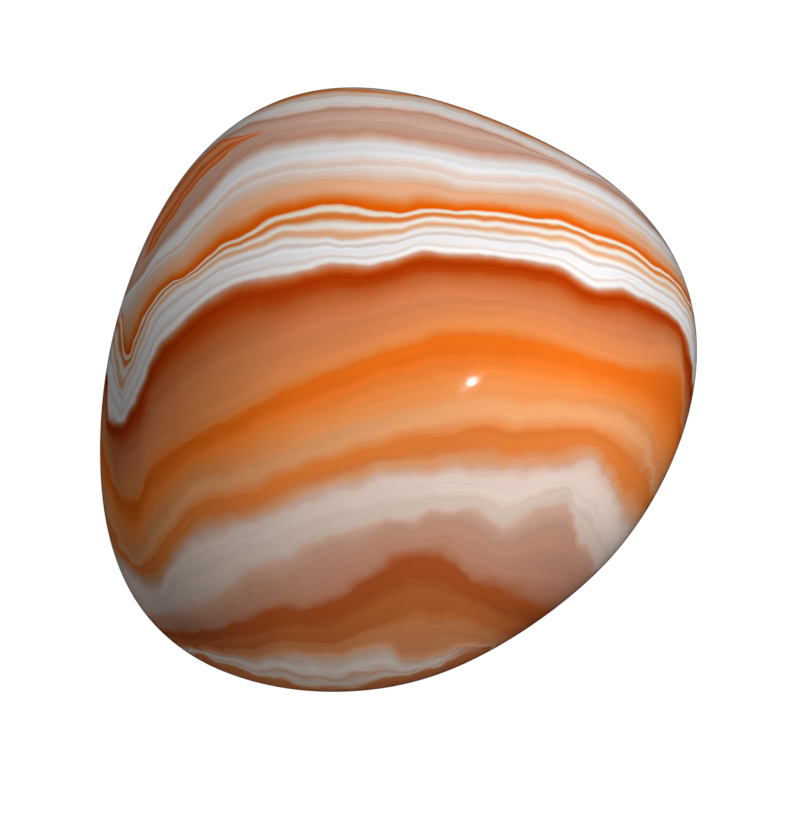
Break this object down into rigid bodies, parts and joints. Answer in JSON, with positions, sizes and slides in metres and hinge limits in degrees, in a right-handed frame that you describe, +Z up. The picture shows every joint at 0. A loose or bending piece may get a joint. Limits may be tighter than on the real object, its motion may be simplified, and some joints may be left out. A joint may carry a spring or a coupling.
{
  "type": "tumbled sardonyx stone",
  "caption": "Polished pebble of banded sardonyx, one rounded solid that lies on a small worn flat under its broad face.",
  "frame": {"origin": "on the plane that the stone rests on, under the middle of its outline", "axes": "+Z up from the rest plane through the broad polished face; +X right and +Y to the far side, as seen from above with the white bands at the far side"},
  "size_m": [0.0393, 0.0397, 0.0261],
  "materials": {
    "sardonyx": "polished, banded orange, red-brown and white"
  },
  "bodies": {
    "root": {"sardonyx_stone": "sardonyx"}
  },
  "joints": []
}
